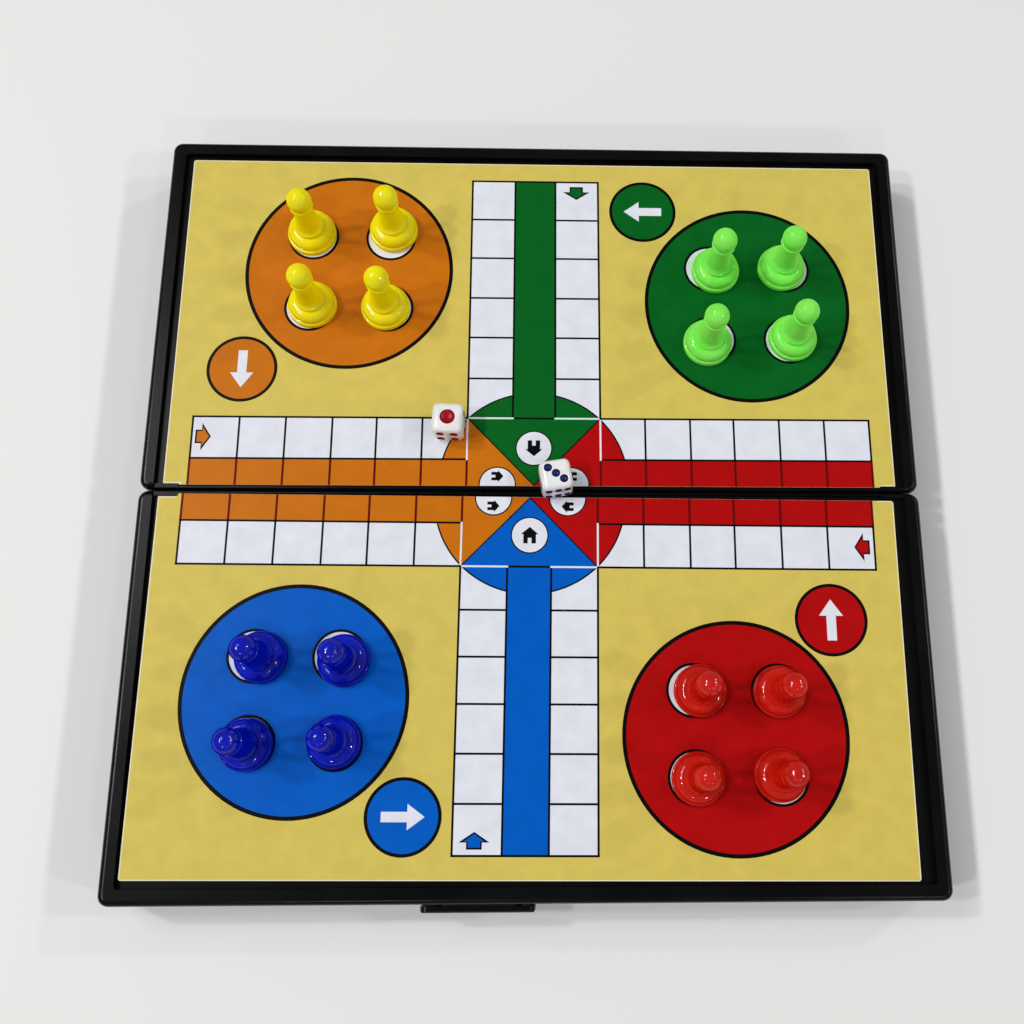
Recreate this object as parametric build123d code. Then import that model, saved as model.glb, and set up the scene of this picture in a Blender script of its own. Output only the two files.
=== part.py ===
"""Folding ludo board box: two hollow half trays on a hinge, printed play sheets on steel
plates, a closing clasp, sixteen magnetic pawns and two dice.

Millimetres, +Z up. The box lies open: the origin is the middle of the hinge line on the table,
X runs along the hinge, and the far half lies at +Y.
"""

import os
from math import acos, asin, atan, cos, degrees, pi, radians, sin

from build123d import *

# Half trays
board_width = 250.0
half_depth = 125.0
hinge_gap = 0.4  # between the two halves, along the hinge line
tray_height = 20.0
wall = 2.4
hinge_wall = 0.9
plan_corner = 3.2
rim_round = 2.0
rim_width = 4.8  # from the outer face to the recess
recess_depth = 1.8
recess_corner = 1.2
deck = 1.6  # floor of the recess, roof of the storage space
hinge_rim_proud = 0.4  # the low rim beside the hinge stands this far above the play sheet
lug_length = 7.5
lug_thickness = 0.9
lug_clearance = 0.15  # round a lug, to the sheet

# Joint between the closed halves: the near skirt passes outside the far lip
lip_height = 4.0
lip_clearance = 0.2
seam_clearance = 0.1

# Hinge
hinge_height = 2.0
knuckle_radius = 2.0
knuckle_length = 12.0
knuckle_count = 3  # in each hinge
knuckle_gap = 0.3
knuckle_swing = 0.3  # hinge wall to the knuckles of the other half
hinge_inset = 43.0  # from the side of the box to the middle of each hinge
hinge_pin_radius = 0.75
hinge_pin_clearance = 0.05

# Clasp on the near wall, hooked over the catch of the far half when the box is shut
clasp_offset = -15.5
clasp_width = 34.0
clasp_thickness = 1.1
clasp_corner = 2.2  # seen from the front
clasp_end_round = 1.0  # seen from above
clasp_reach = 9.8  # pivot to the holding face of the hook
hook_height = 1.2
hook_depth = 0.65
clasp_height = 5.0
clasp_stand_off = 1.4  # pivot to the wall
clasp_barrel_radius = 1.2
clasp_pin_radius = 0.5
clasp_pin_inset = 1.5  # from each end of the clasp
clasp_pin_clearance = 0.05
ear_width = 2.4
ear_gap = 0.25
ear_radius = 1.3
ear_inset = 5.0  # from the end of the clasp to the middle of each ear
catch_height = 1.2
catch_depth = 0.8
catch_clearance = 0.2

# Play sheets, each over a steel plate
plate_thickness = 0.4
plate_inset = 0.6
sheet_thickness = 0.3
sheet_corner = 0.8
sheet_side_gap = 2.6  # to the recess
sheet_latch_gap = 1.8
sheet_hinge_gap = 0.65
near_sheet_shift = (-1.5, 0.2)  # the near sheet and its plate lie off the middle, along X and from the hinge
near_sheet_turn = 0.4  # and a little askew, in degrees

# Pawns, turned shapes made with flat sides so that sixteen of them stay light
pawn_sides = 12
ball_rows = 4
foot_radius = 8.1
foot_height = 1.7
foot_slope = 0.4  # height of the bevel between the foot and the dome
dome_radius = 7.4
dome_rows = 2
shoulder_radius = 4.7
shoulder_height = 6.0
bell_radius = 4.95
bell_lip = 0.9
bell_waist_radius = 4.0
bell_waist_height = 8.4
neck_radius = 3.1
collar_radius = 3.85
collar_thickness = 1.2
ball_radius = 4.1
ball_top_radius = 0.9
pawn_height = 25.3
magnet_radius = 4.0
magnet_thickness = 2.0

# Where the pawns stand: four spots in each camp, and each pawn a little off its spot
spot_pitch = 26.1
camp_insets = {  # from the nearer side and from the latch edge of the sheet
    "yellow": (55.3, 41.5),
    "green": (45.4, 52.3),
    "blue": (47.2, 52.8),
    "red": (53.8, 41.4),
}
pawn_nudges = {
    "yellow": [(0.1, 0.3), (1.5, 1.8), (1.7, -0.1), (-0.2, -0.7)],
    "green": [(2.4, -1.3), (-1.1, -0.2), (-1.2, -1.7), (1.4, 0.2)],
    "blue": [(2.4, -0.4), (1.5, -1.4), (-0.3, -0.4), (-0.2, 0.3)],
    "red": [(2.3, 0.7), (0.6, 0.3), (0.9, 0.6), (-0.3, 1.5)],
}

# Dice
die_size = 10.0
die_bevel = 1.2
die_one_place = (-27.1, 21.6)
die_one_turn = -2.5
die_two_place = (7.3, 2.7)  # leans on the low rim beside the hinge
die_two_turn = 10.0
rest_clearance = 0.02  # under whatever stands on a sheet

# Worked out from the sizes above
hinge_side = hinge_gap / 2
latch_side = hinge_side + half_depth
recess_side = latch_side - rim_width
recess_hinge_side = hinge_side + hinge_wall
recess_width = board_width - 2 * rim_width
sheet_width = recess_width - 2 * sheet_side_gap
deck_top = tray_height - recess_depth
sheet_top = deck_top + plate_thickness + sheet_thickness
hinge_rim_top = sheet_top + hinge_rim_proud
hinge_wall_bottom = hinge_height + knuckle_radius + knuckle_swing
hinge_offset = board_width / 2 - hinge_inset
knuckle_pitch = knuckle_length + knuckle_gap
skirt_thickness = (wall - lip_clearance) / 2
clasp_pivot = latch_side + clasp_stand_off
catch_top = 2 * hinge_height - clasp_height + clasp_reach - catch_clearance


def block(x_range, y_range, z_range):
    """A box between two values on each axis."""
    low = Vector(x_range[0], y_range[0], z_range[0])
    high = Vector(x_range[1], y_range[1], z_range[1])
    size = high - low
    return Pos((low + high) / 2) * Box(size.X, size.Y, size.Z)


def slab(width, y_range, z_range, corner):
    """An upright prism on a rectangle with round corners, centred across the box."""
    outline = RectangleRounded(width, y_range[1] - y_range[0], corner)
    middle = (y_range[0] + y_range[1]) / 2
    return Pos(0, middle, z_range[0]) * extrude(outline, z_range[1] - z_range[0])


def inset_slab(inset, z_range):
    """The outline of a half, pulled in by an inset on every side."""
    y_range = (hinge_side + inset, latch_side - inset)
    return slab(board_width - 2 * inset, y_range, z_range, plan_corner - inset)


def rod(x_range, y, z, radius):
    """A round bar along X."""
    length = x_range[1] - x_range[0]
    middle = (x_range[0] + x_range[1]) / 2
    return Pos(middle, y, z) * Rot(0, 90, 0) * Cylinder(radius, length)


def rim_lugs(clearance):
    """The two small lugs at the ends of the low rim, with room round them where asked."""
    outer = recess_width / 2
    inner = outer - lug_length - clearance
    y_range = (recess_hinge_side, recess_hinge_side + lug_thickness + clearance)
    z_range = (deck_top, hinge_rim_top)
    return [block(ends, y_range, z_range) for ends in ((-outer, -inner), (inner, outer))]


def half_tray():
    """What both halves share: walls, rim, deck and the recess for the plate and the sheet."""
    tray = inset_slab(0, (0, tray_height))
    tray = fillet(tray.edges().group_by(Axis.Z)[-1], rim_round)
    storage = (recess_hinge_side, latch_side - wall)
    tray -= slab(board_width - 2 * wall, storage, (0, deck_top - deck), plan_corner - skirt_thickness)
    tray -= slab(recess_width, (recess_hinge_side, recess_side), (deck_top, tray_height), recess_corner)
    low_rim = (hinge_side, recess_hinge_side + recess_corner)
    across = (-recess_width / 2, recess_width / 2)
    tray -= block(across, low_rim, (hinge_rim_top, tray_height))
    inside = board_width / 2 - wall
    tray -= block((-inside, inside), (hinge_side, recess_hinge_side), (0, hinge_wall_bottom))
    for lug in rim_lugs(0):
        tray += lug
    return tray


def knuckle_ranges(first):
    """Every second knuckle of both hinges, from the first one given."""
    ranges = []
    for centre in (-hinge_offset, hinge_offset):
        for index in range(first, knuckle_count, 2):
            middle = centre + (index - (knuckle_count - 1) / 2) * knuckle_pitch
            ranges.append((middle - knuckle_length / 2, middle + knuckle_length / 2))
    return ranges


def add_knuckles(tray, first, bore_radius):
    """Hangs knuckles from the hinge wall and bores them for the pins."""
    for ends in knuckle_ranges(first):
        web = block(ends, (hinge_side, recess_hinge_side), (hinge_height, hinge_wall_bottom + wall))
        tray += web + rod(ends, 0, hinge_height, knuckle_radius)
        tray -= rod(ends, 0, hinge_height, bore_radius)
    return tray


def make_far_shell():
    """Far half: a lip round its bottom edge, and the catch for the clasp on its latch wall."""
    shell = half_tray()
    step = lip_height + seam_clearance
    lip_inset = skirt_thickness + lip_clearance
    shell -= inset_slab(0, (0, step)) - inset_slab(lip_inset, (0, step))
    shell = add_knuckles(shell, 1, hinge_pin_radius + hinge_pin_clearance)
    catch_low = catch_top - catch_height
    ramp = Polyline(
        (latch_side - wall / 2, catch_low),
        (latch_side, catch_low),
        (latch_side + catch_depth, catch_top - catch_height / 3),
        (latch_side + catch_depth, catch_top),
        (latch_side - wall / 2, catch_top),
        close=True,
    )
    catch_side = clasp_offset - clasp_width / 2 + clasp_corner
    catch_width = clasp_width - 2 * clasp_corner
    return shell + Pos(catch_side, 0, 0) * extrude(Plane.YZ * make_face(ramp), catch_width)


def ear_ranges(clearance):
    """Where the two ears stand along the clasp, with room beside them where asked."""
    middles = [clasp_offset + side * (clasp_width / 2 - ear_inset) for side in (-1, 1)]
    reach = ear_width / 2 + clearance
    return [(middle - reach, middle + reach) for middle in middles]


def clasp_ears():
    """The two ears that carry the clasp pin on the near wall."""
    ears = []
    for ends in ear_ranges(0):
        root = (-clasp_pivot, -latch_side + wall / 2)
        foot = block(ends, root, (clasp_height - ear_radius, clasp_height + ear_radius))
        ears.append(foot + rod(ends, -clasp_pivot, clasp_height, ear_radius))
    return ears


def clasp_pin_ends():
    """The stretch of the clasp pin: nearly the whole width of the clasp."""
    reach = clasp_width / 2 - clasp_pin_inset
    return (clasp_offset - reach, clasp_offset + reach)


def make_near_shell():
    """Near half: a thin skirt round its bottom edge, open at the hinge, and the clasp's ears."""
    lip_room = (0, lip_height + lip_clearance)
    inside = board_width / 2 - skirt_thickness
    corner_end = hinge_side + plan_corner
    shell = half_tray() - inset_slab(skirt_thickness, lip_room)
    shell -= block((-inside, inside), (hinge_side, corner_end), lip_room)
    shell = add_knuckles(shell, 0, hinge_pin_radius)
    shell = mirror(shell, about=Plane.XZ)
    for ear in clasp_ears():
        shell += ear
    return shell - rod(clasp_pin_ends(), -clasp_pivot, clasp_height, clasp_pin_radius)


def make_clasp():
    """The clasp, stowed upright against the near wall: barrel, arm and outward hook."""
    tip = clasp_height + clasp_reach + hook_height
    outer_face = -clasp_pivot - clasp_thickness / 2
    inner_face = outer_face + clasp_thickness
    arm_line = Polyline(
        (inner_face, clasp_height),
        (inner_face, tip),
        (outer_face - hook_depth / 3, tip),
        (outer_face - hook_depth, tip - hook_height / 2),
        (outer_face - hook_depth, tip - hook_height),
        (outer_face, tip - hook_height),
        (outer_face, clasp_height),
        close=True,
    )
    barrel = Pos(-clasp_pivot, clasp_height) * Circle(clasp_barrel_radius)
    side_view = Plane.YZ * (make_face(arm_line) + barrel)
    clasp = Pos(clasp_offset - clasp_width / 2, 0, 0) * extrude(side_view, clasp_width)
    front_height = 2 * (tip - clasp_height + clasp_barrel_radius)
    front_view = Plane.XZ * RectangleRounded(clasp_width, front_height, clasp_corner)
    front = extrude(front_view, 2 * clasp_pivot)
    clasp = clasp & Pos(clasp_offset, 0, tip - front_height / 2) * front
    outermost = outer_face - hook_depth
    plan_view = RectangleRounded(clasp_width, 2 * clasp_pivot, clasp_end_round)
    clasp = clasp & Pos(clasp_offset, outermost + clasp_pivot, 0) * extrude(plan_view, tray_height)
    ear_room = ear_radius + ear_gap
    for ends in ear_ranges(ear_gap):
        clasp -= rod(ends, -clasp_pivot, clasp_height, ear_room)
    bore_radius = clasp_pin_radius + clasp_pin_clearance
    return clasp - rod(clasp_pin_ends(), -clasp_pivot, clasp_height, bore_radius)


def make_hinge_pin(side):
    """A wire pin through all knuckles of one hinge."""
    reach = (knuckle_count * knuckle_pitch - knuckle_gap) / 2
    centre = side * hinge_offset
    return rod((centre - reach, centre + reach), 0, hinge_height, hinge_pin_radius)


def sheet_ends():
    """The hinge edge and the latch edge of a sheet that lies straight."""
    return (recess_hinge_side + sheet_hinge_gap, recess_side - sheet_latch_gap)


def lay_sheet(half, inset, z_range):
    """A sheet in its recess, notched round the lugs of the rim; the near one lies off the middle."""
    hinge_end, latch_end = sheet_ends()
    middle = (hinge_end + latch_end) / 2
    depth = latch_end - hinge_end - 2 * inset
    sheet = slab(sheet_width - 2 * inset, (-depth / 2, depth / 2), z_range, sheet_corner)
    if half == "near":
        sheet = Pos(*near_sheet_shift, 0) * Pos(0, middle, 0) * Rot(0, 0, near_sheet_turn) * sheet
    else:
        sheet = Pos(0, middle, 0) * sheet
    for lug in rim_lugs(lug_clearance + inset):
        sheet -= lug
    return mirror(sheet, about=Plane.XZ) if half == "near" else sheet


def make_plate(half):
    """Steel plate on the deck, hidden under its play sheet."""
    return lay_sheet(half, plate_inset, (deck_top, deck_top + plate_thickness))


def make_play_sheet(half):
    """Printed play sheet on its plate."""
    return lay_sheet(half, 0, (deck_top + plate_thickness, sheet_top))


def dome_stations():
    """Sections of the dome, a quarter ellipse from the foot up to the shoulder."""
    bottom = foot_height + foot_slope
    stations = []
    for row in range(dome_rows):
        turn = radians(90 * row / dome_rows)
        radius = shoulder_radius + (dome_radius - shoulder_radius) * cos(turn)
        stations.append((radius, bottom + (shoulder_height - bottom) * sin(turn)))
    return stations + [(shoulder_radius, shoulder_height)]


def ball_stations(lowest_radius, centre):
    """Sections of the ball, from where it sits on the collar to the small flat on its top."""
    start = -degrees(acos(lowest_radius / ball_radius))
    stations = []
    for row in range(ball_rows):
        turn = radians(start + (90 - start) * row / ball_rows)
        stations.append((ball_radius * cos(turn), centre + ball_radius * sin(turn)))
    return stations + [(ball_top_radius, centre + ball_radius)]


def pawn_band(low, high):
    """One band of a pawn between two sections (radius, height), drawn in from the wider one."""
    wide, narrow = max(low, high), min(low, high)
    rise = high[1] - low[1]
    taper = degrees(atan((wide[0] - narrow[0]) * cos(pi / pawn_sides) / rise))
    band = extrude(RegularPolygon(wide[0], pawn_sides), rise, taper=taper)
    if wide == high:
        band = Rot(180, 0, 0) * band
    return Pos(0, 0, wide[1]) * band


def make_pawn():
    """A pawn on its foot: foot, dome, bell, collar and ball, with a pocket for the magnet."""
    foot = [(foot_radius, 0), (foot_radius, foot_height)]
    ball = ball_stations(neck_radius, pawn_height - ball_radius)
    collar_top = ball[0][1]
    collar_bottom = collar_top - collar_thickness
    bell = [
        (bell_radius, shoulder_height),
        (bell_radius, shoulder_height + bell_lip),
        (bell_waist_radius, bell_waist_height),
        (neck_radius, collar_bottom),
    ]
    collar = [(collar_radius, collar_bottom), (collar_radius, collar_top)]
    stations = foot + dome_stations() + bell + collar + ball
    bands = [pawn_band(low, high) for low, high in zip(stations, stations[1:]) if high[1] > low[1]]
    return Part() + bands - make_magnet()


def make_magnet():
    """The disc magnet, flush with the bottom of the foot."""
    return extrude(RegularPolygon(magnet_radius, pawn_sides), magnet_thickness)


def pawn_places():
    """Where each pawn stands: (colour, number) to (x, y)."""
    sheet_end = sheet_ends()[1]
    shift_x, shift_y = near_sheet_shift
    corners = {
        "yellow": (-sheet_width / 2, sheet_end),
        "green": (sheet_width / 2, sheet_end),
        "blue": (shift_x - sheet_width / 2, -sheet_end - shift_y),
        "red": (shift_x + sheet_width / 2, -sheet_end - shift_y),
    }
    spots = [(-1, 1), (1, 1), (-1, -1), (1, -1)]
    places = {}
    for colour, (inset_x, inset_y) in camp_insets.items():
        corner_x, corner_y = corners[colour]
        camp_x = corner_x + inset_x if corner_x < 0 else corner_x - inset_x
        camp_y = corner_y + inset_y if corner_y < 0 else corner_y - inset_y
        for number, (spot, nudge) in enumerate(zip(spots, pawn_nudges[colour]), 1):
            x = camp_x + spot[0] * spot_pitch / 2 + nudge[0]
            y = camp_y + spot[1] * spot_pitch / 2 + nudge[1]
            places[colour, number] = (x, y)
    return places


def make_die(place, turn, lean):
    """A die with bevelled edges, turned and leaning, its lowest point just over the sheet."""
    flat = die_size / 2 - die_bevel
    die = chamfer(Box(die_size, die_size, die_size).edges(), die_bevel)
    turned = cos(radians(turn)) + abs(sin(radians(turn)))
    half_height = flat * sin(radians(lean)) * turned + die_size / 2 * cos(radians(lean))
    return Pos(*place, sheet_top + rest_clearance + half_height) * Rot(-lean, 0, 0) * Rot(0, 0, turn) * die


def die_two_lean():
    """How far the second die leans back from the low rim, over a corner of its bottom face."""
    turn = radians(die_two_turn)
    rim_to_middle = die_two_place[1] - recess_hinge_side
    lever = (die_size / 2 - die_bevel) * (cos(turn) + sin(turn)) + rim_to_middle
    return degrees(asin((hinge_rim_proud + rest_clearance) / lever))


parts = {
    "near_shell": make_near_shell(),
    "far_shell": make_far_shell(),
    "near_steel_plate": make_plate("near"),
    "far_steel_plate": make_plate("far"),
    "near_play_sheet": make_play_sheet("near"),
    "far_play_sheet": make_play_sheet("far"),
    "left_hinge_pin": make_hinge_pin(-1),
    "right_hinge_pin": make_hinge_pin(1),
    "clasp": make_clasp(),
    "clasp_pin": rod(clasp_pin_ends(), -clasp_pivot, clasp_height, clasp_pin_radius),
    "die_one": make_die(die_one_place, die_one_turn, 0),
    "die_two": make_die(die_two_place, die_two_turn, die_two_lean()),
}
pawn = make_pawn()
magnet = make_magnet()
for (colour, number), (x, y) in pawn_places().items():
    stand = Pos(x, y, sheet_top + rest_clearance)
    parts[f"{colour}_pawn_{number}"] = stand * pawn
    parts[f"{colour}_magnet_{number}"] = stand * magnet

os.makedirs("parts", exist_ok=True)
for name, part in parts.items():
    export_step(part, f"parts/{name}.step")
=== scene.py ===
from math import cos, pi, radians, sin

import bmesh
import bpy
from mathutils import Matrix, Vector


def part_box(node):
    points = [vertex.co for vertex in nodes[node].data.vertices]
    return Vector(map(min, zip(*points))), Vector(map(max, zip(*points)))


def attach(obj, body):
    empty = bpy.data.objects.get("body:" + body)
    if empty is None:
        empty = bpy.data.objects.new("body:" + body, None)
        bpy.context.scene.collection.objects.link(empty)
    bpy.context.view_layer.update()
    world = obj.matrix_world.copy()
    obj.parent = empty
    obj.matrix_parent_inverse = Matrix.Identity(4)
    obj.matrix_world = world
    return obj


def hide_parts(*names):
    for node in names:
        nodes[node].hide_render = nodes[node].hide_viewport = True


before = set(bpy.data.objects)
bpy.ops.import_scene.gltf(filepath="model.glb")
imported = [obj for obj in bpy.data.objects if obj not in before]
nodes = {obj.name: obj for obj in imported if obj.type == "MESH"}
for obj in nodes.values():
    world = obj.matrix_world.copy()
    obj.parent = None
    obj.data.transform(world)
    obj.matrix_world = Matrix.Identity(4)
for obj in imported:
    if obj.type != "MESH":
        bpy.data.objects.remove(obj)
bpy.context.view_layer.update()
mm = 0.001  # pieces are drawn in millimetres and brought to metres when they are finished

print("frame loaded:", len(nodes), "nodes")


# shared helpers: meshes
def finishPiece(name, bm, materials, body, smooth=True):
    bmesh.ops.scale(bm, vec=(mm, mm, mm), verts=bm.verts)
    mesh = bpy.data.meshes.new(name)
    bm.to_mesh(mesh)
    bm.free()
    for material in materials:
        mesh.materials.append(material)
    if smooth:
        mesh.shade_smooth()
    piece = bpy.data.objects.new(name, mesh)
    bpy.context.scene.collection.objects.link(piece)
    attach(piece, body)
    return piece


def centreOf(node):  # in millimetres
    low, high = (Vector(corner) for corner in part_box(node))
    return (low + high) / 2 / mm


# shared helpers: materials
def newMaterial(name, settings):
    material = bpy.data.materials.new(name)
    material.use_nodes = True
    shader = material.node_tree.nodes["Principled BSDF"]
    for socket, value in settings.items():
        shader.inputs[socket].default_value = value
    return material, material.node_tree, shader


def srgb(red, green, blue):  # a colour as it looks, 0 to 255, to the linear values that sockets take
    def straight(value):
        value = value / 255
        return value / 12.92 if value <= 0.04045 else ((value + 0.055) / 1.055) ** 2.4
    return (straight(red), straight(green), straight(blue), 1)


def addNoise(tree, scale, detail=4.0, roughness=0.55):
    place = tree.nodes.new("ShaderNodeTexCoord")
    noise = tree.nodes.new("ShaderNodeTexNoise")
    noise.inputs["Scale"].default_value = scale
    noise.inputs["Detail"].default_value = detail
    noise.inputs["Roughness"].default_value = roughness
    tree.links.new(place.outputs["Object"], noise.inputs["Vector"])
    return noise


def varyColour(tree, shader, noise, dark, light, low=0.35, high=0.65):
    ramp = tree.nodes.new("ShaderNodeValToRGB")
    ramp.color_ramp.elements[0].position = low
    ramp.color_ramp.elements[0].color = dark
    ramp.color_ramp.elements[1].position = high
    ramp.color_ramp.elements[1].color = light
    tree.links.new(noise.outputs["Fac"], ramp.inputs["Fac"])
    tree.links.new(ramp.outputs["Color"], shader.inputs["Base Color"])


def varyRoughness(tree, shader, noise, low, high):
    spread = tree.nodes.new("ShaderNodeMapRange")
    spread.inputs["To Min"].default_value = low
    spread.inputs["To Max"].default_value = high
    tree.links.new(noise.outputs["Fac"], spread.inputs["Value"])
    tree.links.new(spread.outputs["Result"], shader.inputs["Roughness"])


def addBump(tree, shader, noise, strength, distance):
    bump = tree.nodes.new("ShaderNodeBump")
    bump.inputs["Strength"].default_value = strength
    bump.inputs["Distance"].default_value = distance
    tree.links.new(noise.outputs["Fac"], bump.inputs["Height"])
    tree.links.new(bump.outputs["Normal"], shader.inputs["Normal"])


def fadeSpecular(tree, shader, turns, levels):  # goes from one level to the other as the surface turns away
    turned = tree.nodes.new("ShaderNodeLayerWeight")
    turned.inputs["Blend"].default_value = 0.5
    level = tree.nodes.new("ShaderNodeMapRange")
    level.inputs["From Min"].default_value, level.inputs["From Max"].default_value = turns
    level.inputs["To Min"].default_value, level.inputs["To Max"].default_value = levels
    tree.links.new(turned.outputs["Facing"], level.inputs["Value"])
    tree.links.new(level.outputs["Result"], shader.inputs["Specular IOR Level"])


def tinted(colour, factor):
    return tuple(min(value * factor, 1.0) for value in colour[:3]) + (1,)


# black moulded plastic: shells and clasp
shellPlastic = {
    "colour": srgb(5, 5, 6),
    "worn": srgb(11, 11, 12),
    "grain": 900,  # fine spark-eroded grain of the mould
    "cloud": 40,
    "roughness": (0.2, 0.3),
    "bump": (0.25, 0.00008),  # strength and distance, here and below
    "shader": {"IOR": 1.45, "Specular IOR Level": 0.19},
}


def makeShellPlastic():
    material, tree, shader = newMaterial("shellPlastic", shellPlastic["shader"])
    cloud = addNoise(tree, shellPlastic["cloud"])
    grain = addNoise(tree, shellPlastic["grain"], 2.0)
    varyColour(tree, shader, cloud, shellPlastic["colour"], shellPlastic["worn"])
    varyRoughness(tree, shader, cloud, *shellPlastic["roughness"])
    addBump(tree, shader, grain, *shellPlastic["bump"])
    return material


# printed sheets under clear film
sheetFilm = {
    "roughness": (0.3, 0.38),
    "ripple": 26,  # the film isn't quite flat
    "mottle": 160,
    "shift": 0.04,  # how far the ink varies in lightness
    "bump": (0.12, 0.0006),
    "shader": {"IOR": 1.45, "Specular IOR Level": 0.1},
}
inkColours = {
    "paper": srgb(240, 232, 200),  # bare edge of the sheet round the print
    "ground": srgb(217, 196, 95),
    "white": srgb(230, 232, 242),
    "orange": srgb(203, 113, 16),
    "green": srgb(6, 98, 32),
    "blue": srgb(0, 93, 196),
    "red": srgb(178, 11, 12),
    "black": srgb(10, 10, 12),
    "maroon": srgb(96, 10, 10),
}


def makeInk(name):
    colour = inkColours[name]
    material, tree, shader = newMaterial(name + "Ink", sheetFilm["shader"])
    ripple = addNoise(tree, sheetFilm["ripple"], 2.0)
    mottle = addNoise(tree, sheetFilm["mottle"], 6.0)
    shift = sheetFilm["shift"]
    varyColour(tree, shader, mottle, tinted(colour, 1 - shift), tinted(colour, 1 + shift))
    varyRoughness(tree, shader, mottle, *sheetFilm["roughness"])
    addBump(tree, shader, ripple, *sheetFilm["bump"])
    return material


# metals
steelSheet = {
    "colour": srgb(186, 188, 190),
    "dark": srgb(160, 162, 165),
    "brush": 300,
    "stretch": (0.05, 1, 1),  # rolled along X
    "roughness": (0.22, 0.36),
}
ferrite = {
    "colour": srgb(52, 52, 54),
    "dark": srgb(38, 38, 40),
    "grit": 1600,
    "roughness": (0.6, 0.8),
    "bump": (0.3, 0.00005),
}


def makeSteel():
    material, tree, shader = newMaterial("steelSheet", {"Metallic": 1.0})
    brush = addNoise(tree, steelSheet["brush"], 3.0)
    stretch = tree.nodes.new("ShaderNodeMapping")
    stretch.inputs["Scale"].default_value = steelSheet["stretch"]
    place = brush.inputs["Vector"].links[0].from_socket
    tree.links.new(place, stretch.inputs["Vector"])
    tree.links.new(stretch.outputs["Vector"], brush.inputs["Vector"])
    varyColour(tree, shader, brush, steelSheet["dark"], steelSheet["colour"])
    varyRoughness(tree, shader, brush, *steelSheet["roughness"])
    return material


def makeFerrite():
    material, tree, shader = newMaterial("ferrite", {"IOR": 1.6})
    grit = addNoise(tree, ferrite["grit"], 5.0)
    varyColour(tree, shader, grit, ferrite["dark"], ferrite["colour"])
    varyRoughness(tree, shader, grit, *ferrite["roughness"])
    addBump(tree, shader, grit, *ferrite["bump"])
    return material


# pawns
pawnShape = {  # radii and heights in millimetres
    "footRadius": 8.05,
    "footHeight": 2.1,
    "footRound": 0.4,
    "domeRadius": 7.5,
    "shoulderRadius": 4.75,
    "shoulderHeight": 5.6,
    "bellRadius": 4.9,
    "bellLip": 0.9,
    "waistRadius": 4.1,
    "bellFlare": 0.45,
    "bellHollow": 0.15,
    "neckRadius": 3.1,
    "collarRadius": 3.8,
    "collarHeight": 1.3,
    "ballRadius": 3.95,
    "footGroove": (0.6, 0.9),  # height and depth
    "bellGroove": (0.9, 1.2),
    "height": 25.25,
    "pocketRadius": 4.05,
    "pocketDepth": 2.0,
    "bellSteps": 24,
    "turns": 48,
}
magnetShape = {"radius": 4.0, "thickness": 2.0, "rim": 0.25, "gap": 0.02, "turns": 32}
pawnPlastic = {
    "roughness": 0.06,
    "ior": 1.49,
    "spread": 0.0007,
    "swirl": 130,
    "ripple": 450,
    "bump": (0.5, 0.0002),
    "fade": {"turns": (0.25, 0.65), "levels": (0.5, 0)},
}
pawnColours = {  # inside is how far light spreads in the plastic
    "yellow": {"deep": srgb(248, 224, 2), "light": srgb(254, 240, 8), "inside": 0.2},
    "green": {"deep": srgb(122, 252, 80), "light": srgb(150, 255, 104), "inside": 0.5},
    "blue": {"deep": srgb(2, 12, 154), "light": srgb(4, 28, 200), "inside": 0.2},
    "red": {"deep": srgb(190, 16, 6), "light": srgb(216, 32, 18), "inside": 0.3},
}


def arc(radius, height, wide, tall, start, end, steps):  # points of an ellipse arc, angles in degrees
    points = []
    for step in range(steps + 1):
        turn = radians(start + (end - start) * step / steps)
        points.append((radius + wide * cos(turn), height + tall * sin(turn)))
    return points


def pawnProfile():
    s = pawnShape
    rounded = s["footRound"]
    ballCentre = s["height"] - s["ballRadius"]
    # the ball meets the neck at its seat
    seat = ballCentre - (s["ballRadius"] ** 2 - s["neckRadius"] ** 2) ** 0.5
    collarBottom = seat - s["collarHeight"]
    profile = [(0, s["pocketDepth"]), (s["pocketRadius"], s["pocketDepth"]), (s["pocketRadius"], 0)]
    profile += arc(s["footRadius"] - rounded, rounded, rounded, rounded, -90, 0, 4)
    profile += arc(s["footRadius"] - rounded, s["footHeight"] - rounded, rounded, rounded, 0, 90, 4)
    grooveHeight, grooveDepth = s["footGroove"]
    profile += [(s["domeRadius"] - grooveDepth, s["footHeight"] + 0.05)]  # the groove over the foot
    dome = s["domeRadius"] - s["shoulderRadius"]
    domeBottom = s["footHeight"] + grooveHeight
    profile += arc(s["shoulderRadius"], domeBottom, dome, s["shoulderHeight"] - domeBottom, 0, 90, 10)
    grooveHeight, grooveDepth = s["bellGroove"]
    profile += [(s["shoulderRadius"] - grooveDepth, s["shoulderHeight"] + 0.03)]  # the groove under the bell
    lip = s["bellLip"]
    lipMiddle = s["shoulderHeight"] + grooveHeight / 2 + lip / 2
    profile += arc(s["bellRadius"] - lip / 2, lipMiddle, lip / 2, lip / 2, -85, 70, 8)
    bellBottom = lipMiddle + lip / 2 + 0.05
    for step in range(s["bellSteps"] + 1):  # the bell, a cone drawn in a little and flared at its foot
        along = step / s["bellSteps"]
        radius = s["waistRadius"] * (1 - along) + s["neckRadius"] * along
        radius += s["bellFlare"] * max(0, 1 - 7 * along) ** 2 - s["bellHollow"] * sin(pi * along)
        profile.append((radius, bellBottom * (1 - along) + collarBottom * along))
    half = s["collarHeight"] / 2
    profile += arc(s["collarRadius"] - half, collarBottom + half, half, half, -80, 80, 6)
    # the ball starts a little inside the collar
    profile += arc(0, ballCentre, s["ballRadius"], s["ballRadius"], -49, 90, 18)
    return profile


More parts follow.
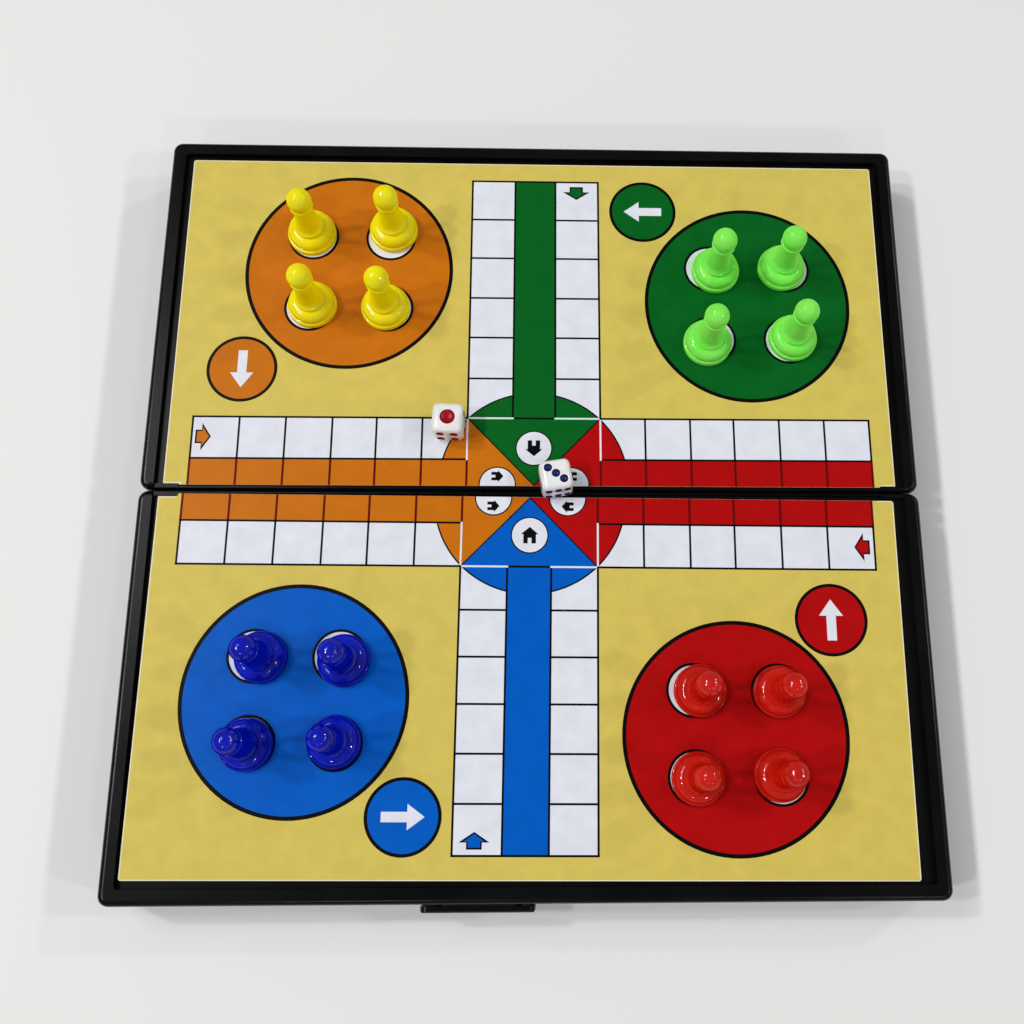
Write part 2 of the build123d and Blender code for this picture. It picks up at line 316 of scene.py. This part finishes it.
def spinProfile(bm, profile, turns):
    verts = [bm.verts.new((radius, 0, height)) for radius, height in profile]
    edges = [bm.edges.new(pair) for pair in zip(verts, verts[1:])]
    bmesh.ops.spin(
        bm, geom=verts + edges, cent=(0, 0, 0), axis=(0, 0, 1), angle=2 * pi, steps=turns, use_merge=True
    )
    bmesh.ops.remove_doubles(bm, verts=bm.verts, dist=0.002)
    bmesh.ops.recalc_face_normals(bm, faces=bm.faces)


def makePawnPlastic(colour):
    look = pawnColours[colour]
    settings = {
        "Roughness": pawnPlastic["roughness"],
        "IOR": pawnPlastic["ior"],
        "Subsurface Weight": look["inside"],
        "Subsurface Radius": look["light"][:3],
        "Subsurface Scale": pawnPlastic["spread"],
    }
    material, tree, shader = newMaterial(colour + "PawnPlastic", settings)
    swirl = addNoise(tree, pawnPlastic["swirl"], 3.0)
    varyColour(tree, shader, swirl, look["deep"], look["light"], 0.3, 0.7)
    fadeSpecular(tree, shader, **pawnPlastic["fade"])
    ripple = addNoise(tree, pawnPlastic["ripple"], 2.0)
    addBump(tree, shader, ripple, *pawnPlastic["bump"])
    return material


def standingPoint(node):  # the middle of its foot, in millimetres
    middle = centreOf(node)
    return middle.x, middle.y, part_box(node)[0][2] / mm


def makePawn(node, plastic):
    bm = bmesh.new()
    spinProfile(bm, pawnProfile(), pawnShape["turns"])
    bmesh.ops.translate(bm, vec=standingPoint(node), verts=bm.verts)
    pawn = finishPiece(node + "_turned", bm, [plastic], node)
    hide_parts(node)


def makeMagnet(magnet, node, ferriteMaterial):  # in the foot of the pawn that the node names
    s = magnetShape
    radius, rim, low, high = s["radius"], s["rim"], s["gap"], s["thickness"] - s["gap"]
    disc = [
        (0, low), (radius - rim, low), (radius, low + rim),
        (radius, s["thickness"] - rim), (radius - rim, high), (0, high),
    ]
    bm = bmesh.new()
    spinProfile(bm, disc, s["turns"])
    bmesh.ops.translate(bm, vec=standingPoint(node), verts=bm.verts)
    magnetPiece = finishPiece(magnet + "_disc", bm, [ferriteMaterial], node, smooth=False)
    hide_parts(magnet)


# dice
diceShape = {
    "size": 10.0,
    "edgeRound": 2.0,
    "pipGap": 2.2,  # from the middle of a face to its corner pips, along each side
    "pip": (1.35, 0.9),  # radius and depth of a dimple
    "oddPips": {1: (2.45, 1.1), 6: (1.25, 0.9)},  # the faces whose dimples differ, by their count
    "dimpleSegments": (40, 24),
    "sharpAngle": 35,
}
dicePlaces = {  # turn about the upright, then lean back off the low rim, both in degrees
    "die_one": {
        "turn": -2.5,
        "lean": 0,
        "faces": {"top": 1, "front": 4, "right": 2, "left": 5, "back": 3, "bottom": 6},
    },
    "die_two": {
        "turn": 10,
        "lean": 4.01,
        "faces": {"top": 3, "front": 6, "right": 5, "left": 2, "back": 1, "bottom": 4},
    },
}
faceTurns = {  # turns that bring an upward face to each side
    "top": Matrix.Identity(4),
    "bottom": Matrix.Rotation(pi, 4, "X"),
    "front": Matrix.Rotation(pi / 2, 4, "X"),
    "back": Matrix.Rotation(-pi / 2, 4, "X"),
    "right": Matrix.Rotation(pi / 2, 4, "Y"),
    "left": Matrix.Rotation(-pi / 2, 4, "Y"),
}
pipSpots = {
    1: [(0, 0)],
    2: [(-1, 1), (1, -1)],
    3: [(-1, 1), (0, 0), (1, -1)],
    4: [(-1, 1), (1, 1), (-1, -1), (1, -1)],
    5: [(-1, 1), (1, 1), (0, 0), (-1, -1), (1, -1)],
    6: [(-1.38, 1), (0, 1), (1.38, 1), (-1.38, -1), (0, -1), (1.38, -1)],
}
redFaces = (1, 4)
pipColours = {"redPip": srgb(156, 4, 22), "bluePip": srgb(14, 14, 94)}


def makeDiePlastic():
    settings = {"IOR": 1.5, "Subsurface Weight": 0.15, "Subsurface Scale": 0.002, "Coat Weight": 0.4}
    material, tree, shader = newMaterial("diePlastic", settings)
    cloud = addNoise(tree, 220, 3.0)
    varyColour(tree, shader, cloud, srgb(238, 238, 236), srgb(250, 250, 248))
    varyRoughness(tree, shader, cloud, 0.16, 0.26)
    return material


def makePipPaint(name, colour):
    material, tree, shader = newMaterial(name, {"IOR": 1.5, "Specular IOR Level": 0.3})
    cloud = addNoise(tree, 900, 3.0)
    varyColour(tree, shader, cloud, tinted(colour, 0.85), tinted(colour, 1.1))
    varyRoughness(tree, shader, cloud, 0.25, 0.4)
    return material


def addDimple(bm, side, count, spot, materialIndex):
    s = diceShape
    radius, depth = s["oddPips"].get(count, s["pip"])
    ball = (radius ** 2 + depth ** 2) / (2 * depth)  # the ball that presses this dimple
    place = Vector((spot[0] * s["pipGap"], spot[1] * s["pipGap"], s["size"] / 2 + ball - depth))
    matrix = faceTurns[side] @ Matrix.Translation(place)
    around, upwards = s["dimpleSegments"]
    made = bmesh.ops.create_uvsphere(
        bm, u_segments=around, v_segments=upwards, radius=ball, matrix=matrix
    )
    for face in {face for vert in made["verts"] for face in vert.link_faces}:
        face.material_index = materialIndex


def cutWith(target, cutter):
    cut = target.modifiers.new("dimples", "BOOLEAN")
    cut.operation = "DIFFERENCE"
    cut.solver = "EXACT"
    cut.object = cutter
    graph = bpy.context.evaluated_depsgraph_get()
    mesh = bpy.data.meshes.new_from_object(target.evaluated_get(graph))
    target.modifiers.clear()
    target.data = mesh
    bpy.data.objects.remove(cutter)


def makeDie(node, paints):
    s = diceShape
    place = dicePlaces[node]
    lean = Matrix.Rotation(radians(-place["lean"]), 4, "X")
    turn = Matrix.Rotation(radians(place["turn"]), 4, "Z")
    seat = Matrix.Translation(centreOf(node)) @ lean @ turn
    bm = bmesh.new()
    bmesh.ops.create_cube(bm, size=s["size"])
    bmesh.ops.bevel(
        bm, geom=bm.edges[:], offset=s["edgeRound"], offset_type="OFFSET", affect="EDGES",
        segments=8, profile=0.5, material=-1
    )
    bmesh.ops.transform(bm, matrix=seat, verts=bm.verts)
    die = finishPiece(node + "_cube", bm, paints, node, smooth=False)
    dimples = bmesh.new()
    for side, count in place["faces"].items():
        for spot in pipSpots[count]:
            addDimple(dimples, side, count, spot, 1 if count in redFaces else 2)
    bmesh.ops.transform(dimples, matrix=seat, verts=dimples.verts)
    cutter = finishPiece(node + "_dimples", dimples, paints, node, smooth=False)
    cutWith(die, cutter)
    die.data.shade_smooth()
    die.data.set_sharp_from_angle(angle=radians(s["sharpAngle"]))
    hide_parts(node)


# the printed pattern, drawn on each half as thin films of ink one over another
printPlan = {  # millimetres from the middle of the pattern, and from the hinge line outwards
    "middle": {"far": 0.27, "near": -1.24},  # the print isn't quite central on its sheet
    "turn": {"far": 0, "near": -0.4},  # the near sheet lies a little askew, in degrees
    "turnPoint": 61.8,
    "hingeEdge": {"far": 1.77, "near": 1.98},
    "armHalfWidth": 21.65,
    "columnHalfWidth": 6.93,
    "columnLines": (38.6, 53.2, 67.6, 82.4, 97.0, 111.8),
    "rowLines": (21.65, 36.3, 51.1, 65.4, 80.4, 95.3, 110.2),
    "squareEdge": 24.75,
    "rowEdge": 10.65,  # between the coloured row and the white one
    "rosetteCentre": 3.1,
    "rosetteRadius": 30.35,
    "rosetteLine": {"diagonal": 0.4, "inner": 0.6, "outer": 0.5},
    "line": 0.65,
    "rowBar": 0.36,  # half the width of a bar across the coloured row
    "ring": 1.2,
    "homeRadius": 6.0,
    "homeCentre": 14.5,
    "homeRing": 0.4,
    "homeHouse": 5.2,
    "sideHomes": {"left": (-11.7, 2.2), "right": (12.0, 2.2)},
    "sideHouse": 3.7,
    "sideHouseShift": 2.8,
    "campRadius": 34.8,
    "campOval": 1.02,
    "spotRadius": 8.45,
    "spotRing": 0.85,
    "spotPitch": 26.1,
    "startRadius": 11.5,
    "startRing": 1.0,
    "groundHalfWidth": 117.25,
    "groundShift": -0.26,
    "groundEnd": {"far": 118.3, "near": 118.5},
    "lugReach": 112.2,  # the print is cut out round the lugs of the rim, inside this
    "lugDepth": {"far": (2.6, 2.6), "near": (3.35, 2.3)},
}
films = (0.022, 0.034, 0.046, 0.058, 0.07)  # tops of the ink films over the sheet
groundFilm = 0.01
filmSink = 0.01  # how far each film reaches down into the sheet
roundSides = 96
campPlaces = {  # middle of each camp, of its start disc and of the small arrow in its first cell
    "orange": {
        "half": "far", "camp": (-62.5, 77.1), "spotShift": (0.45, -0.55),
        "start": (-95.85, 41.4), "arrow": (-106.55, 17.9), "points": 0,
    },
    "green": {
        "half": "far", "camp": (71.9, 66.3), "spotShift": (0.3, -0.1),
        "start": (37.0, 100.7), "arrow": (14.15, 107.5), "points": -90,
    },
    "blue": {
        "half": "near", "camp": (-70.7, 66.5), "spotShift": (0, 0),
        "start": (-36.4, 100.8), "arrow": (-15.15, 107.5), "points": -90,
    },
    "red": {
        "half": "near", "camp": (63.7, 76.95), "spotShift": (0.3, -0.8),
        "start": (94.9, 40.9), "arrow": (106.2, 17.4), "points": 180,
    },
}
arrows = {
    "start": {"length": 13, "width": 7.6, "stem": 3, "head": 5.2},
    "cellEdge": {"length": 5.0, "width": 9.2, "stem": 4.6, "head": 3.0},
    "cell": {"length": 3.9, "width": 6.4, "stem": 3.6, "head": 2.2},
}
rowInks = {"left": "orange", "right": "red"}
columnInks = {"far": "green", "near": "blue"}
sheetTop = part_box("far_play_sheet")[1][2] / mm


def newCanvas(half):
    side = 1 if half == "far" else -1
    turn = Matrix.Rotation(radians(printPlan["turn"][half]), 4, "Z")
    turnPoint = Matrix.Translation((0, side * printPlan["turnPoint"], 0))
    lift = Matrix.Translation((printPlan["middle"][half], 0, sheetTop - filmSink))
    place = lift @ turnPoint @ turn @ turnPoint.inverted() @ Matrix.Diagonal((1, side, 1, 1))
    return {"half": half, "place": place, "hinge": printPlan["hingeEdge"][half], "inks": {}}


def layInk(canvas, ink, bm, top, clips=()):  # trims a flat patch, thickens it and adds it to its ink
    for point, outward in clips:
        geometry = bm.verts[:] + bm.edges[:] + bm.faces[:]
        bmesh.ops.bisect_plane(
            bm, geom=geometry, plane_co=(*point, 0), plane_no=(*outward, 0), clear_outer=True
        )
    raised = bmesh.ops.extrude_face_region(bm, geom=bm.faces[:], use_keep_orig=True)
    upper = [item for item in raised["geom"] if isinstance(item, bmesh.types.BMVert)]
    bmesh.ops.translate(bm, vec=(0, 0, top + filmSink), verts=upper)
    bmesh.ops.transform(bm, matrix=canvas["place"], verts=bm.verts)
    bmesh.ops.recalc_face_normals(bm, faces=bm.faces)
    patch = bpy.data.meshes.new("patch")
    bm.to_mesh(patch)
    bm.free()
    canvas["inks"].setdefault(ink, bmesh.new()).from_mesh(patch)
    bpy.data.meshes.remove(patch)


def layPatch(canvas, ink, points, film):
    bm = bmesh.new()
    bm.faces.new([bm.verts.new((x, y, 0)) for x, y in points])
    layInk(canvas, ink, bm, films[film])


def layStrip(canvas, ink, xRange, yRange, film):
    (x0, x1), (y0, y1) = sorted(xRange), sorted(yRange)
    layPatch(canvas, ink, [(x0, y0), (x1, y0), (x1, y1), (x0, y1)], film)


def layLine(canvas, ink, start, end, film, width=printPlan["line"]):
    start, end = Vector(start), Vector(end)
    along = (end - start).normalized() * width / 2
    across = Vector((-along.y, along.x))
    start, end = start - along, end + along
    layPatch(canvas, ink, [start + across, start - across, end - across, end + across], film)


def layDisc(canvas, ink, centre, radius, film, clips=(), oval=1):
    bm = bmesh.new()
    place = Matrix.Translation((*centre, 0)) @ Matrix.Diagonal((1, oval, 1, 1))
    bmesh.ops.create_circle(bm, cap_ends=True, radius=radius, segments=roundSides, matrix=place)
    layInk(canvas, ink, bm, films[film], clips)


def layRing(canvas, ink, centre, radius, film, width, clips=(), oval=1):
    bm = bmesh.new()
    place = Matrix.Translation((*centre, 0)) @ Matrix.Diagonal((1, oval, 1, 1))
    for edge in (radius, radius - width):
        bmesh.ops.create_circle(bm, radius=edge, segments=roundSides, matrix=place)
    bmesh.ops.bridge_loops(bm, edges=bm.edges[:])
    layInk(canvas, ink, bm, films[film], clips)


def layPictogram(canvas, ink, points, centre, turn, film):
    spin = Matrix.Rotation(radians(turn), 2)
    placed = [spin @ Vector(point) + Vector(centre) for point in points]
    layPatch(canvas, ink, placed, film)


def arrowOutline(length, width, stem, head):  # points to the right, about its own middle
    back, neck, tip = -length / 2, length / 2 - head, length / 2
    return [
        (back, -stem / 2), (neck, -stem / 2), (neck, -width / 2), (tip, 0),
        (neck, width / 2), (neck, stem / 2), (back, stem / 2),
    ]


def houseOutline(width):  # roof to +Y, about its own middle
    wall, roof = 0.58 * width, 0.46 * width
    low = -(wall + roof) / 2
    eave = low + wall
    side, door = 0.385 * width, 0.115 * width
    lintel, overhang = low + 0.6 * wall, 0.54 * width
    return [
        (-side, low), (-door, low), (-door, lintel), (door, lintel), (door, low), (side, low),
        (side, eave), (overhang, eave), (0, eave + roof), (-overhang, eave), (-side, eave),
    ]


def drawGround(canvas):
    p = printPlan
    low, high = canvas["hinge"], p["groundEnd"][canvas["half"]]
    left, right = p["groundShift"] - p["groundHalfWidth"], p["groundShift"] + p["groundHalfWidth"]
    leftLug, rightLug = p["lugDepth"][canvas["half"]]
    reach = p["lugReach"]
    outline = [
        (-reach, low), (reach, low), (reach, rightLug), (right, rightLug),
        (right, high), (left, high), (left, leftLug), (-reach, leftLug),
    ]
    bm = bmesh.new()
    bm.faces.new([bm.verts.new((x, y, 0)) for x, y in outline])
    layInk(canvas, "ground", bm, groundFilm)


def drawColumn(canvas):
    p = printPlan
    end = p["columnLines"][-1]
    arm, column = p["armHalfWidth"], p["columnHalfWidth"]
    layStrip(canvas, columnInks[canvas["half"]], (-column, column), (p["squareEdge"], end), 0)
    for side in (-1, 1):
        layStrip(canvas, "white", (side * column, side * arm), (p["squareEdge"], end), 0)
        for level in p["columnLines"][:-1]:
            layLine(canvas, "black", (side * column, level), (side * arm, level), 2)
        for x in (side * column, side * arm):
            layLine(canvas, "black", (x, p["squareEdge"]), (x, end), 2)
    layLine(canvas, "black", (-arm, end), (arm, end), 2)


def drawRow(canvas, side):
    p = printPlan
    sign = -1 if side == "left" else 1
    start, end = sign * p["rowLines"][0], sign * p["rowLines"][-1]
    layStrip(canvas, rowInks[side], (start, end), (canvas["hinge"], p["rowEdge"]), 0)
    layStrip(canvas, "white", (start, end), (p["rowEdge"], p["squareEdge"]), 0)
    for line in p["rowLines"]:
        x = sign * line
        if x != start:
            layLine(canvas, "black", (x, p["rowEdge"]), (x, p["squareEdge"]), 2)
        layStrip(canvas, "maroon", (x - p["rowBar"], x + p["rowBar"]), (canvas["hinge"], p["rowEdge"]), 2)
    for y in (p["rowEdge"], p["squareEdge"]):
        layLine(canvas, "black", (start, y), (end, y), 2)


def drawRosette(canvas):
    p = printPlan
    arm, edge, column = p["armHalfWidth"], p["squareEdge"], p["columnHalfWidth"]
    centre, lines = (0, p["rosetteCentre"]), p["rosetteLine"]
    columnInk = columnInks[canvas["half"]]
    hinge = ((0, canvas["hinge"]), (0, -1))
    layDisc(canvas, columnInk, centre, p["rosetteRadius"], 1, [((0, edge), (0, -1))])
    layPatch(canvas, columnInk, [(-arm, edge), (arm, edge), (0, canvas["hinge"])], 0)
    for side, ink in rowInks.items():
        sign = -1 if side == "left" else 1
        corner, apex, foot = (sign * arm, edge), (0, canvas["hinge"]), (sign * arm, canvas["hinge"])
        layDisc(canvas, ink, centre, p["rosetteRadius"], 1, [((sign * arm, 0), (-sign, 0)), hinge])
        layPatch(canvas, ink, [corner, apex, foot], 0)
        layLine(canvas, "black", corner, (0, canvas["hinge"] + 0.2), 2, lines["diagonal"])
        layLine(canvas, "white", (sign * column, edge), (sign * arm, edge), 3, lines["inner"])
        layLine(canvas, "white", (sign * arm, p["rowEdge"]), (sign * arm, edge), 3, lines["inner"])
        outside = [((sign * column, 0), (-sign, 0)), ((0, p["rowEdge"]), (0, -1))]
        rim = p["rosetteRadius"] + lines["outer"] / 2
        layRing(canvas, "black", centre, rim, 2, lines["outer"], outside)
    layLine(canvas, "black", (-column, edge), (column, edge), 2)


def drawHomes(canvas):
    p = printPlan
    hinge = [((0, canvas["hinge"]), (0, -1))]
    left, right = p["sideHomes"]["left"], p["sideHomes"]["right"]
    middle = (0, p["homeCentre"])
    for centre in (middle, left, right):
        layDisc(canvas, "white", centre, p["homeRadius"] - 0.2, 3, hinge)
        layRing(canvas, "black", centre, p["homeRadius"], 4, p["homeRing"], hinge)
    layPictogram(canvas, "black", houseOutline(p["homeHouse"]), middle, 180, 4)
    # the hinge splits the side homes, so each half has its own house
    for centre, turn in ((left, -90), (right, 90)):
        spot = (centre[0], centre[1] + p["sideHouseShift"])
        layPictogram(canvas, "black", houseOutline(p["sideHouse"]), spot, turn, 4)


def drawCamp(canvas, ink):
    p = printPlan
    place = campPlaces[ink]
    layDisc(canvas, ink, place["camp"], p["campRadius"] - 0.3, 0, oval=p["campOval"])
    layRing(canvas, "black", place["camp"], p["campRadius"], 2, p["ring"], oval=p["campOval"])
    middle = Vector(place["camp"]) + Vector(place["spotShift"])
    for x in (-1, 1):
        for y in (-1, 1):
            spot = middle + Vector((x, y)) * p["spotPitch"] / 2
            layDisc(canvas, "white", spot, p["spotRadius"] - 0.2, 1)
            layRing(canvas, "black", spot, p["spotRadius"], 2, p["spotRing"])
    layDisc(canvas, ink, place["start"], p["startRadius"] - 0.3, 0)
    layRing(canvas, "black", place["start"], p["startRadius"], 2, p["startRing"])
    way = Vector(place["arrow"]) - Vector(place["start"])
    turn = 0 if abs(way.x) > abs(way.y) else 90
    if (way.x if turn == 0 else way.y) < 0:
        turn += 180
    layPictogram(canvas, "white", arrowOutline(**arrows["start"]), place["start"], turn, 3)
    cell, points = place["arrow"], place["points"]
    layPictogram(canvas, "black", arrowOutline(**arrows["cellEdge"]), cell, points, 2)
    layPictogram(canvas, ink, arrowOutline(**arrows["cell"]), cell, points, 3)


def drawPrint(half, inks):
    canvas = newCanvas(half)
    drawGround(canvas)
    drawColumn(canvas)
    for side in rowInks:
        drawRow(canvas, side)
    drawRosette(canvas)
    drawHomes(canvas)
    for ink, place in campPlaces.items():
        if place["half"] == half:
            drawCamp(canvas, ink)
    for ink, bm in canvas["inks"].items():
        finishPiece(f"{half}_print_{ink}", bm, [inks[ink]], half + "_half", smooth=False)


# build everything
shellBlack = makeShellPlastic()
steel = makeSteel()
magnetFerrite = makeFerrite()
inks = {name: makeInk(name) for name in inkColours}
nodeLooks = {
    shellBlack: ["near_shell", "far_shell", "clasp"],
    steel: ["near_steel_plate", "far_steel_plate", "left_hinge_pin", "right_hinge_pin", "clasp_pin"],
    inks["paper"]: ["near_play_sheet", "far_play_sheet"],
}
for material, names in nodeLooks.items():
    for name in names:
        nodes[name].data.materials.clear()
        nodes[name].data.materials.append(material)
print("box dressed")

for half in ("far", "near"):
    drawPrint(half, inks)
print("pattern printed")

for colour in pawnColours:
    plastic = makePawnPlastic(colour)
    for number in range(1, 5):
        node = f"{colour}_pawn_{number}"
        makePawn(node, plastic)
        makeMagnet(f"{colour}_magnet_{number}", node, magnetFerrite)
print("pawns turned")

diePaints = [makeDiePlastic()]
for name, colour in pipColours.items():
    diePaints.append(makePipPaint(name, colour))
for node in dicePlaces:
    makeDie(node, diePaints)
print("dice cut")


# table, light and camera
table = {"colour": srgb(238, 238, 236), "size": 6.0, "drop": 0.0002}
lamps = [{"place": (-0.7, 0.4, 1.25), "size": 0.5, "power": 2.8}]  # a faint panel over the left rim
for row in (-0.8, 0.1, 1.0):
    lamps.append({"place": (-2.4, row, 3.1), "size": 0.25, "power": 26.3})
for row in (-0.8, 0.3, 1.4):
    lamps.append({"place": (2.2, row, 1.9), "size": 0.15, "power": 9.0})
for column in (-0.5, 1.1):
    lamps.append({"place": (column, -2.2, 1.9), "size": 0.15, "power": 5.2})
# shows the undersides through the table
lamps.append({"place": (0.1, -0.2, -1.3), "size": 1.0, "power": 22})
view = {
    "place": (0.00354, -0.09391, 0.34286),
    "turn": (14.397, -1.705, -0.234),  # degrees
    "lens": 36.9,
    "shift": (-0.0616, 0.0116),
}
worldLight = {"colour": (1, 1, 1, 1), "strength": 0.17}


def makeTable():
    bpy.ops.mesh.primitive_plane_add(size=table["size"], location=(0, 0, -table["drop"]))
    floor = bpy.context.object
    floor.name = "table"
    material, tree, shader = newMaterial("tableTop", {"Base Color": table["colour"], "Roughness": 0.6})
    output = tree.nodes["Material Output"]
    clear = tree.nodes.new("ShaderNodeBsdfTransparent")
    under = tree.nodes.new("ShaderNodeNewGeometry")
    path = tree.nodes.new("ShaderNodeLightPath")
    either = tree.nodes.new("ShaderNodeMath")
    either.operation = "MAXIMUM"
    tree.links.new(under.outputs["Backfacing"], either.inputs[0])
    tree.links.new(path.outputs["Is Shadow Ray"], either.inputs[1])
    choose = tree.nodes.new("ShaderNodeMixShader")  # from below the table is seen and lit through
    tree.links.new(either.outputs[0], choose.inputs["Fac"])
    tree.links.new(shader.outputs["BSDF"], choose.inputs[1])
    tree.links.new(clear.outputs["BSDF"], choose.inputs[2])
    tree.links.new(choose.outputs["Shader"], output.inputs["Surface"])
    floor.data.materials.append(material)


def addLamp(lamp):
    light = bpy.data.lights.new("softPanel", "AREA")
    light.size = lamp["size"]
    light.energy = lamp["power"]
    panel = bpy.data.objects.new("softPanel", light)
    panel.location = lamp["place"]
    panel.rotation_euler = (-Vector(lamp["place"])).to_track_quat("-Z", "Y").to_euler()
    bpy.context.scene.collection.objects.link(panel)


def addCamera():
    lens = bpy.data.cameras.new("view")
    lens.lens = view["lens"]
    lens.shift_x, lens.shift_y = view["shift"]
    lens.clip_start = 0.01
    camera = bpy.data.objects.new("view", lens)
    camera.location = view["place"]
    camera.rotation_euler = [radians(angle) for angle in view["turn"]]
    bpy.context.scene.collection.objects.link(camera)
    bpy.context.scene.camera = camera


def addWorld():
    world = bpy.data.worlds.new("room")
    world.use_nodes = True
    background = world.node_tree.nodes["Background"]
    background.inputs["Color"].default_value = worldLight["colour"]
    background.inputs["Strength"].default_value = worldLight["strength"]
    bpy.context.scene.world = world


makeTable()
for lamp in lamps:
    addLamp(lamp)
addCamera()
addWorld()
bpy.context.scene.view_settings.view_transform = "Standard"
print("table, light and camera set")
